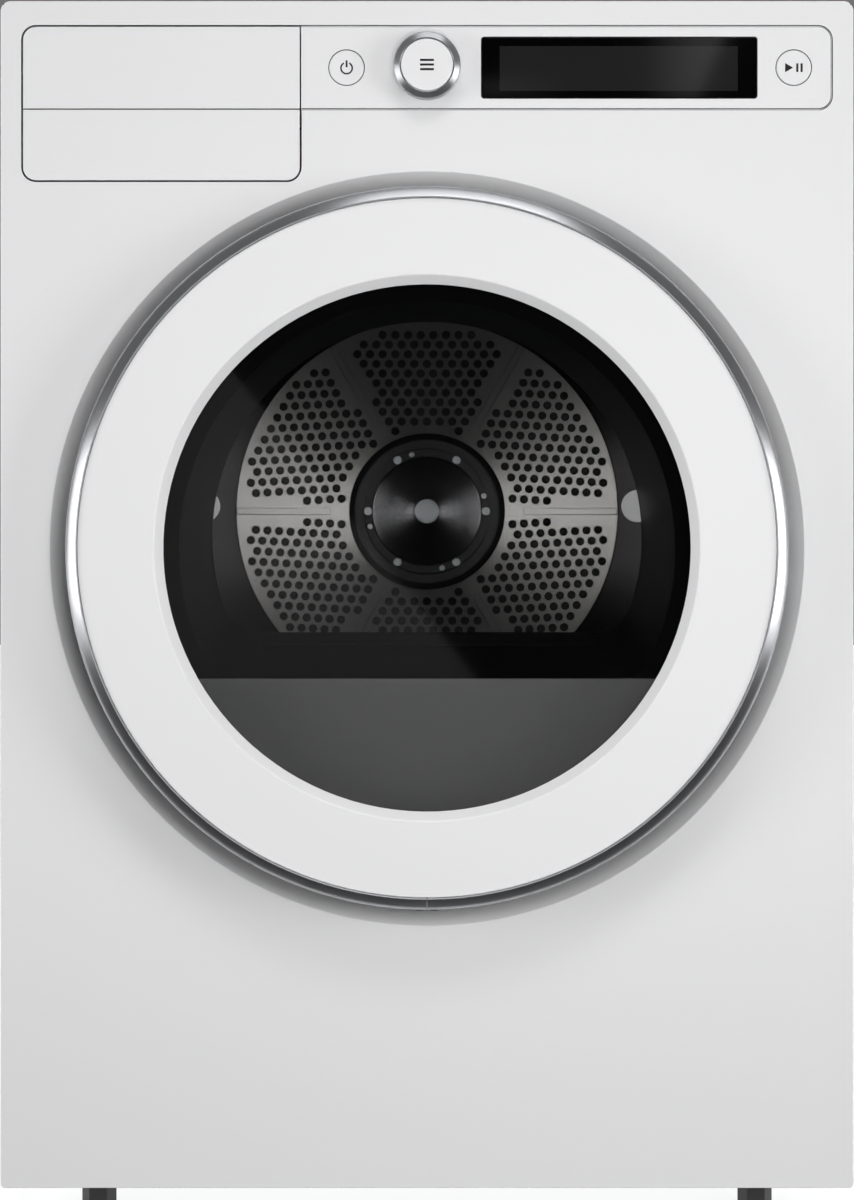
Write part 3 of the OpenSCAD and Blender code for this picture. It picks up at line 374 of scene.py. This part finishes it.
def turned(name, profile, centre, steps=128, closed=True):
    """A piece turned about an axis along Y through centre (x, z), from (radius, depth) points."""
    x, z = centre
    radius, depth = profile[0]
    bpy.ops.object.select_all(action="DESELECT")
    bpy.ops.mesh.primitive_circle_add(
        vertices=steps, radius=radius, location=(x, depth, z), rotation=(math.radians(90), 0, 0)
    )
    piece = bpy.context.object
    piece.name = name
    bpy.ops.object.transform_apply()
    bpy.ops.object.mode_set(mode="EDIT")
    bpy.ops.mesh.select_all(action="SELECT")
    ends = profile[1:] + (profile[:1] if closed else [])
    for r, y in ends:
        bpy.ops.mesh.extrude_edges_move(TRANSFORM_OT_translate={"value": (0, y - depth, 0)})
        bpy.ops.transform.resize(value=(r / radius, 1, r / radius), center_override=(x, y, z))
        radius, depth = r, y
    bpy.ops.mesh.select_all(action="SELECT")
    bpy.ops.mesh.remove_doubles(threshold=0.001 * MM)
    if not closed:
        bpy.ops.mesh.select_all(action="DESELECT")
        bpy.ops.mesh.select_non_manifold(extend=False)
        bpy.ops.mesh.fill_holes(sides=0)
        bpy.ops.mesh.select_all(action="SELECT")
    bpy.ops.mesh.normals_make_consistent(inside=False)
    bpy.ops.object.mode_set(mode="OBJECT")
    return piece


def middle(name):
    """(x, z) of a part's middle."""
    low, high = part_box(name)
    return (low.x + high.x) / 2, (low.z + high.z) / 2


# Push buttons
# Two round ABS caps, each with a shallow dish for the fingertip, and a printed mark: a power sign on
# the left one, start and pause on the right one.

button_low, button_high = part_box("power_button")
button_r = (button_high.x - button_low.x) / 2
for name, body in (("power_button", "power"), ("start_button", "start")):
    low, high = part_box(name)
    cap = turned(
        name + "_cap",
        [
            (0.3 * MM, low.y + 0.35 * MM),
            (button_r - 3.5 * MM, low.y + 0.25 * MM),
            (button_r - 1.2 * MM, low.y),
            (button_r - 0.4 * MM, low.y + 0.1 * MM),
            (button_r, low.y + 0.5 * MM),
            (button_r, low.y + 3 * MM),
            (4 * MM, low.y + 3 * MM),
            (4 * MM, high.y),
            (0.3 * MM, high.y),
        ],
        middle(name),
        96,
        closed=False,
    )
    round_edges(cap, 0.15 * MM)
    dress(cap, white_abs, body, "white_plastic", name)


def thicken(piece, depth):
    """Makes a plate of a flat face by moving a copy of it along Y."""
    choose(piece)
    bpy.ops.object.mode_set(mode="EDIT")
    bpy.ops.mesh.select_all(action="SELECT")
    bpy.ops.mesh.extrude_region_move(TRANSFORM_OT_translate={"value": (0, depth, 0)})
    bpy.ops.mesh.select_all(action="SELECT")
    bpy.ops.mesh.normals_make_consistent(inside=False)
    bpy.ops.object.mode_set(mode="OBJECT")
    return piece


def printed(name, outline, y, body):
    """A flat mark of ink on a surface at depth y, from its outline of (x, z) points."""
    return dress(thicken(flat(name, outline, y), 0.1 * MM), grey_ink, body, "foot_plastic")


def arc(x, z, r_out, r_in, start, end, steps=28):
    """Outline of a part ring."""
    angles = [math.radians(start + (end - start) * k / steps) for k in range(steps + 1)]
    outer = [(x + r_out * math.cos(a), z + r_out * math.sin(a)) for a in angles]
    inner = [(x + r_in * math.cos(a), z + r_in * math.sin(a)) for a in reversed(angles)]
    return outer + inner


def bar(x, z, width, height):
    """Outline of an upright bar with its middle at x, z."""
    left, right = x - width / 2, x + width / 2
    low, high = z - height / 2, z + height / 2
    return [(left, low), (right, low), (right, high), (left, high)]


mark_y = button_low.y + 0.18 * MM
x, z = middle("power_button")
printed("power_mark_ring", arc(x, z - 0.3 * MM, 4.5 * MM, 3.4 * MM, 118, 422), mark_y, "power")
printed("power_mark_bar", bar(x, z + 2.7 * MM, 1.3 * MM, 4.8 * MM), mark_y, "power")
x, z = middle("start_button")
triangle = [(x - 6.0 * MM, z - 3.2 * MM), (x - 0.5 * MM, z), (x - 6.0 * MM, z + 3.2 * MM)]
printed("start_mark_triangle", triangle, mark_y, "start")
printed("pause_mark_left", bar(x + 2.5 * MM, z, 1.5 * MM, 6.0 * MM), mark_y, "start")
printed("pause_mark_right", bar(x + 5.5 * MM, z, 1.5 * MM, 6.0 * MM), mark_y, "start")


# Selector knob
# A turned aluminium ring with a bevelled, brushed edge round a white cap that is pressed to confirm.
# The cap carries a plain list sign.


def brushed(name, base, low, high, axis, streak=0.35 * MM, strength=0.2):
    """Metal brushed round an axis along Y: fine streaks follow the circumference."""
    material, shader = new_finish(name, Base_Color=colour(base), Metallic=1.0, Anisotropic=0.85)
    shader.inputs["Anisotropic Rotation"].default_value = 0.25
    place = add(material, "TexCoord")
    centre = (-axis[0], 0, -axis[1])
    shift = add(material, "Mapping", [("Vector", place, "Object"), ("Location", centre)])
    split = add(material, "SeparateXYZ", [("Vector", shift, "Vector")])
    square_x = add(material, "Math", [(0, split, "X"), (1, split, "X")], operation="MULTIPLY")
    both = [(0, split, "Z"), (1, split, "Z"), (2, square_x, "Value")]
    square = add(material, "Math", both, operation="MULTIPLY_ADD")
    radius = add(material, "Math", [(0, square, "Value")], operation="SQRT")
    angle = add(material, "Math", [(0, split, "Z"), (1, split, "X")], operation="ARCTAN2")
    slow = add(material, "Math", [(0, angle, "Value"), (1, 6 * streak)], operation="MULTIPLY")
    axes = [("X", radius, "Value"), ("Y", split, "Y"), ("Z", slow, "Value")]
    rolled = add(material, "CombineXYZ", axes)
    streaks = [("Vector", rolled, "Vector"), ("Scale", 1 / streak), ("Detail", 2.0)]
    noise = add(material, "TexNoise", streaks)
    limits = add(material, "MapRange", [("Value", noise, "Fac"), ("To Min", low), ("To Max", high)])
    wire(material, limits, "Result", shader, "Roughness")
    scratches = [("Height", noise, "Fac"), ("Strength", strength), ("Distance", 0.02 * MM)]
    bump = add(material, "Bump", scratches)
    wire(material, bump, "Normal", shader, "Normal")
    tangent = add(material, "Tangent", direction_type="RADIAL", axis="Y")
    wire(material, tangent, "Tangent", shader, "Tangent")
    return material


knob_axis = middle("knob_ring")
brushed_knob = brushed("brushed_aluminium_knob", "#C4C5C8", 0.36, 0.42, knob_axis, strength=0.04)
finish("knob_ring", brushed_knob, "knob", "trim_metal", 0.5 * MM, 3, 20)

cap_low, cap_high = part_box("knob_cap")
cap_r = (cap_high.x - cap_low.x) / 2
cap = turned(
    "knob_cap_face",
    [
        (0.3 * MM, cap_low.y + 0.25 * MM),
        (cap_r * 0.6, cap_low.y + 0.15 * MM),
        (cap_r - 1.0 * MM, cap_low.y),
        (cap_r - 0.3 * MM, cap_low.y + 0.15 * MM),
        (cap_r, cap_low.y + 0.6 * MM),
        (cap_r, cap_low.y + 3.4 * MM),
        (5 * MM, cap_low.y + 3.4 * MM),
        (5 * MM, cap_high.y),
        (0.3 * MM, cap_high.y),
    ],
    knob_axis,
    closed=False,
)
round_edges(cap, 0.12 * MM)
dress(cap, white_abs, "cap", "white_plastic", "knob_cap")
x, z = knob_axis
for name, rise in (("list_mark_top", 3.2), ("list_mark_middle", 0), ("list_mark_bottom", -3.2)):
    printed(name, bar(x, z + rise * MM, 9.6 * MM, 1.5 * MM), cap_low.y + 0.1 * MM, "cap")


# Display
# A black glass-like acrylic window over the screen. The screen behind it is a shade lighter.

# Acrylic, back-painted black: deep black and mirror-smooth. The screen is 166 mm wide, 31.2 mm high.
display_x, display_z = middle("display_glass")
screen_x, screen_half_w = display_x - 0.4 * MM, 83 * MM
screen_z, screen_half_h = display_z - 0.6 * MM, 15.6 * MM
black_acrylic, shader = new_finish("black_acrylic", Roughness=0.05)
place = add(black_acrylic, "TexCoord")
split = add(black_acrylic, "SeparateXYZ", [("Vector", place, "Object")])
within_x = [(0, split, "X"), (1, screen_x), (2, screen_half_w)]
within_z = [(0, split, "Z"), (1, screen_z), (2, screen_half_h)]
across = add(black_acrylic, "Math", within_x, operation="COMPARE")
upright = add(black_acrylic, "Math", within_z, operation="COMPARE")
both = [(0, across, "Value"), (1, upright, "Value")]
screen = add(black_acrylic, "Math", both, operation="MULTIPLY")
shades = [("Fac", screen, "Value"), ("Color1", colour("#050506")), ("Color2", colour("#222223"))]
shade = add(black_acrylic, "MixRGB", shades)
wire(black_acrylic, shade, "Color", shader, "Base Color")
finish("display_glass", black_acrylic, "cabinet", "black_glass", 0.5 * MM, 3)


# Water drawer
# A white ABS front with a fine groove that carries on the panel's lower edge, and behind it a
# translucent polypropylene tray that runs in a dark housing.

piece = finish("drawer_front", white_abs, "drawer", "white_plastic", 0.15 * MM)
groove_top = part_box("control_fascia")[0].z + 3 * MM
# Painted shade: the groove's faces are black.
paint_shade_or_finish(
    piece,
    lambda middle, normal: front_y + 0.03 * MM < middle.y < front_y + 1.4 * MM
    and groove_top - 1.5 * MM < middle.z < groove_top + 0.6 * MM,
)

# Polypropylene, moulded: milky grey and waxy.
milky_pp, shader = new_finish("milky_polypropylene", Base_Color=colour("#D5D8DA"), Roughness=0.4)
grain(milky_pp, shader, 2.5 * MM, 0.15, (0.35, 0.48))
finish("drawer_box", milky_pp, "drawer", "water_drawer", 1.0 * MM, 2)


# Door
# From the front: a brushed aluminium trim ring closed at the bottom by two clips, a white ABS face
# ring whose inner bevel leads down to a tinted glass, and a graphite moulding behind it.

door_centre = middle("door_face_ring")
brushed_trim = brushed("brushed_aluminium_trim", "#BFC0C3", 0.27, 0.33, door_centre, 0.5 * MM, 0.03)
finish("door_trim_ring", brushed_trim, "door", "trim_metal", 0.25 * MM, 2, 24)

finish("door_face_ring", white_abs, "door", "white_plastic", 0.8 * MM, 3, 24)


def float_glass(name, base, alpha, smear, dull):
    """See-through glass with smears, smear metres across. dull is the worst one's roughness."""
    material, shader = new_finish(name, Base_Color=colour(base), Roughness=0.02, Alpha=alpha)
    material.surface_render_method = "BLENDED"
    place = add(material, "TexCoord")
    smears = [("Vector", place, "Object"), ("Scale", 1 / smear), ("Detail", 2.0)]
    noise = add(material, "TexNoise", smears)
    limits = add(material, "MapRange", [("Value", noise, "Fac"), ("To Min", 0.01), ("To Max", dull)])
    wire(material, limits, "Result", shader, "Roughness")
    return material


# Float glass, tinted grey and toughened: see-through, with mirror-like faces.
tinted_glass = float_glass("tinted_glass", "#060607", 0.38, 1 / 30, 0.05)
finish("door_glass", tinted_glass, "door", "tinted_glass", 0.5 * MM)

# Clear float glass of the inner pane.
clear_glass = float_glass("clear_glass", "#101212", 0.06, 1 / 40, 0.06)
finish("door_inner_pane", clear_glass, "door", "clear_glass", 0.5 * MM)

# Graphite polypropylene with talc, moulded: dark grey and satin, spark-eroded grain.
graphite_pp, shader = new_finish(
    "graphite_polypropylene", Base_Color=colour("#171718"), Roughness=0.42
)
grain(graphite_pp, shader, 0.6 * MM, 0.2, (0.38, 0.48), 0.03 * MM)
finish("door_inner_shell", graphite_pp, "door", "dark_plastic", 0.6 * MM, 2)


# Hinge and latch
# A bracket and a leaf of zinc-plated steel, pinned together behind the trim's right edge; on the
# left a steel tongue on the door goes into a sprung plastic latch.

# Zinc plate, blue passivated: a dull silver with a faint mottle.
zinc_plate, shader = new_finish(
    "zinc_plate", Base_Color=colour("#B4B7BA"), Metallic=1.0, Roughness=0.36
)
grain(zinc_plate, shader, 1.2 * MM, 0.12, (0.3, 0.44), 0.02 * MM)
for name, body in (("hinge_bracket", "cabinet"), ("hinge_leaf", "door"), ("door_strike", "door")):
    finish(name, zinc_plate, body, "hinge_steel", 0.3 * MM)

finish("door_latch", graphite_pp, "cabinet", "dark_plastic", 0.5 * MM)


# Front bulkhead
# One large graphite moulding behind the front panel: a funnel leads to the drum's mouth, its sill
# holds the lint filter. A ribbed rubber seal lies round it, and a felt ring where the drum turns.

finish("front_bulkhead", graphite_pp, "cabinet", "dark_plastic", 0.8 * MM, 2, 30)

# The sill's cover: a snap-on moulding of pale polypropylene, satin, in front of the plate and below
# the mouth, with a rounded upper edge.
sill_pp, shader = new_finish("sill_polypropylene", Base_Color=colour("#E2E2E3"), Roughness=0.45)
grain(sill_pp, shader, 0.6 * MM, 0.15, (0.40, 0.50), 0.03 * MM)
plate_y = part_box("front_bulkhead")[0].y
door_x, door_z = door_centre
cover_r = 190 * MM
cover_t = 4.4 * MM
cover_lip = 3.6 * MM
mouth_drop = 91 * MM
tip = math.asin(mouth_drop / cover_r)
turns = [math.pi + tip + (math.pi - 2 * tip) * k / 90 for k in range(91)]
outline = [(door_x + cover_r * math.cos(a), door_z + cover_r * math.sin(a)) for a in turns]
piece = thicken(flat("sill_cover", outline, plate_y - 0.1 * MM), -cover_t)
bpy.ops.object.mode_set(mode="EDIT")
bpy.ops.mesh.select_all(action="DESELECT")
mesh = bmesh.from_edit_mesh(piece.data)
for edge in mesh.edges:
    ends = [v.co for v in edge.verts]
    in_front = all(co.y < plate_y - 4 * MM for co in ends)
    edge.select = in_front and all(co.z > door_z - mouth_drop - 0.1 * MM for co in ends)
bmesh.update_edit_mesh(piece.data)
bpy.ops.mesh.bevel(offset=cover_lip, segments=6, affect="EDGES", clamp_overlap=False)
bpy.ops.object.mode_set(mode="OBJECT")
bpy.ops.object.shade_smooth_by_angle(angle=math.radians(50))
dress(piece, sill_pp, "cabinet", "grey_plastic")

# EPDM rubber, extruded: black and dull, with a faint bloom.
black_rubber, shader = new_finish("black_rubber", Base_Color=colour("#1D1D1E"), Roughness=0.7)
grain(black_rubber, shader, 1.4 * MM, 0.25, (0.6, 0.8))
finish("door_seal", black_rubber, "cabinet", "seal_rubber", 0.8 * MM, 3)

# Wool felt: grey, matt, with fibres of about 1 mm standing up.
grey_felt, shader = new_finish(
    "grey_felt", Base_Color=colour("#5B5B58"), Roughness=0.95, Sheen_Weight=0.4
)
grain(grey_felt, shader, 1.0 * MM, 0.8, (0.85, 1.0), 0.3 * MM)
repaint(grey_felt, "drum_felt_seal", "drum_rear_seal")

# Lint filter: a hinged polypropylene frame with a fine woven mesh, lifted out by its grip.
finish("lint_filter", graphite_pp, "filter", "grey_plastic", 0.6 * MM)


# Drum
# A rolled wrapper of stainless steel with rolled beads and a conical back, a galvanised back plate
# with six fields of pressed holes and six ribs, and three hollow paddles.

drum_axis = middle("drum_back")
# Painted shade: the stainless steel's colour is darkened almost to black, so the drum's wrapper reads
# as dark as in its shade.
shaded_stainless = brushed(
    "stainless_steel_painted_shade", "#2E2D2D", 0.16, 0.24, drum_axis, 0.6 * MM, 0.05
)
finish("drum_shell", shaded_stainless, "drum", "drum_steel", 0.4 * MM)

brushed_plate = brushed("brushed_steel_plate", "#A5A4A2", 0.34, 0.42, drum_axis, 0.5 * MM, 0.03)
finish(
    "drum_back", brushed_plate, "drum", "drum_steel", 0.25 * MM, 1, joined=False, clamp=False, smooth=20
)

# Polypropylene of the paddles: mid grey and satin.
grey_pp, shader = new_finish("grey_polypropylene", Base_Color=colour("#6E6E6F"), Roughness=0.4)
grain(grey_pp, shader, 0.8 * MM, 0.18, (0.36, 0.46))
finish("drum_lifters", grey_pp, "drum", "lifter_plastic", 1.0 * MM, 3, 20)


# Hub
# A black glass-filled nylon flange with a deep groove, held by ten screws, round a spun steel dish
# whose middle covers the shaft's end.

# Glass-filled nylon of the hub: black and satin.
hub_nylon, shader = new_finish("hub_nylon", Base_Color=colour("#0D0D0E"), Roughness=0.28)
grain(hub_nylon, shader, 0.6 * MM, 0.15, (0.28, 0.38))
finish("drum_hub", hub_nylon, "drum", "hub_plastic", 0.4 * MM, 2, 20)

spun_steel = brushed("spun_black_steel", "#8A8A8C", 0.16, 0.2, drum_axis, 0.4 * MM, 0.03)
piece = finish("hub_cone", spun_steel, "drum", "drum_steel", 0.3 * MM, 2, 20)
# The dish's middle is left bright.
cone_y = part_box("hub_cone")[0].y
hub_x, hub_z = drum_axis
paint_shade_or_finish(
    piece,
    lambda middle, normal: middle.y < cone_y + 1.5 * MM
    and math.hypot(middle.x - hub_x, middle.z - hub_z) < 20 * MM,
    zinc_plate,
)

finish("hub_screws", zinc_plate, "drum", "zinc_sheet", 0.5 * MM, 3)


# Drum lamps
# Two small domes of frosted polycarbonate, each in a round holder on the funnel's rear.

# Polycarbonate, frosted: milky and softly bright.
frosted_lens, shader = new_finish(
    "frosted_polycarbonate", Base_Color=colour("#D9DCDE"), Roughness=0.35
)
shader.inputs["Emission Color"].default_value = colour("#FFFFFF")
shader.inputs["Emission Strength"].default_value = 0.6
grain(frosted_lens, shader, 0.8 * MM, 0.2, (0.3, 0.42))
repaint(frosted_lens, "drum_lamps")


# Back, base and housings
# Galvanised sheet closes the back and the base, and grey polypropylene the water drawer's housing.

# Hot-dip galvanised sheet: pale, satin, with a spangle of about 12 mm.
galvanised, shader = new_finish("galvanised_sheet", Metallic=0.9, Roughness=0.42)
place = add(galvanised, "TexCoord")
spangle = add(galvanised, "TexVoronoi", [("Vector", place, "Object"), ("Scale", 1 / (12 * MM))])
single = add(galvanised, "SeparateColor", [("Color", spangle, "Color")])
shades = [("Fac", single, "Red"), ("Color1", colour("#A9ADB0")), ("Color2", colour("#C3C7CA"))]
shade = add(galvanised, "MixRGB", shades)
wire(galvanised, shade, "Color", shader, "Base Color")
limits = add(galvanised, "MapRange", [("Value", single, "Green"), ("To Min", 0.36), ("To Max", 0.5)])
wire(galvanised, limits, "Result", shader, "Roughness")

# Cathodic dip paint on steel: black, thin and satin. Inside the duct cover the same black is painted
# shade behind the drum's holes.
ecoat_and_duct_shade, shader = new_finish("dip_paint_black_and_duct_shade", Base_Color=colour("#141415"), Roughness=0.45)
grain(ecoat_and_duct_shade, shader, 1.0 * MM, 0.12, (0.4, 0.5))

duct_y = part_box("rear_duct_cover")[0].y + 4 * MM
for name in ("rear_panel", "base_tray", "rear_duct_cover"):
    piece = finish(name, galvanised, "cabinet", "zinc_sheet", 0.4 * MM, joined=False)
    if name == "rear_duct_cover":
        # Painted shade: the duct cover's inner faces are black, so the holes in the drum's back plate
        # look black.
        paint_shade_or_finish(piece, lambda middle, normal: normal.y < -0.5 and middle.y > duct_y, ecoat_and_duct_shade)

for name, material, slot in (
    ("drawer_housing", grey_pp, "grey_plastic"),
    ("cord_gland", black_nylon, "dark_plastic"),
    ("cabinet_screws", zinc_plate, "zinc_sheet"),
    ("exhaust_duct", galvanised, "zinc_sheet"),
):
    finish(name, material, "cabinet", slot, 0.4 * MM)


# Heater, bearing, blower and motor
# They sit out of sight behind the panels, on the rear brace and on the base.

# Glass-epoxy board with a green solder mask.
solder_mask, shader = new_finish("solder_mask", Base_Color=colour("#1E5A33"), Roughness=0.35)
grain(solder_mask, shader, 1.0 * MM, 0.3, (0.3, 0.45))
# Resistance wire, oxidised: brownish metal.
resistance_wire, shader = new_finish(
    "resistance_wire", Base_Color=colour("#8A6B52"), Metallic=1.0, Roughness=0.5
)
grain(resistance_wire, shader, 1.0 * MM, 0.3, (0.4, 0.6))
# Motor enamel, dipped: black and satin.
motor_enamel, shader = new_finish("motor_enamel", Base_Color=colour("#2A2A2C"), Roughness=0.4)
grain(motor_enamel, shader, 1.5 * MM, 0.2, (0.34, 0.48))

for material, names in (
    (solder_mask, ["control_board"]),
    (resistance_wire, ["heater_coils"]),
    (galvanised, ["idler_arm"]),
    (ecoat_and_duct_shade, ["rear_brace", "heater_housing"]),
    (grey_pp, ["blower_housing", "blower_fan", "left_roller", "right_roller", "idler_pulley"]),
    (motor_enamel, ["motor_body"]),
    (black_rubber, ["drive_belt"]),
    (zinc_plate, ["drum_bearing", "roller_axles", "motor_shaft", "drum_shaft"]),
):
    repaint(material, *names)


# Lamps inside the drum
# Two small soft lamps light the drum as the appliance's own lamps do; the camera doesn't see them.

drum_low, drum_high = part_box("drum_shell")
mouth_y = drum_low.y + 30 * MM
for name, side in (("drum_left", -1), ("drum_right", 1)):
    place = (side * 0.17, mouth_y, 0.52)
    soft_box(name, place, (side * 0.05, drum_high.y, 0.5), (0.1, 0.12), 0.13, spread=90)
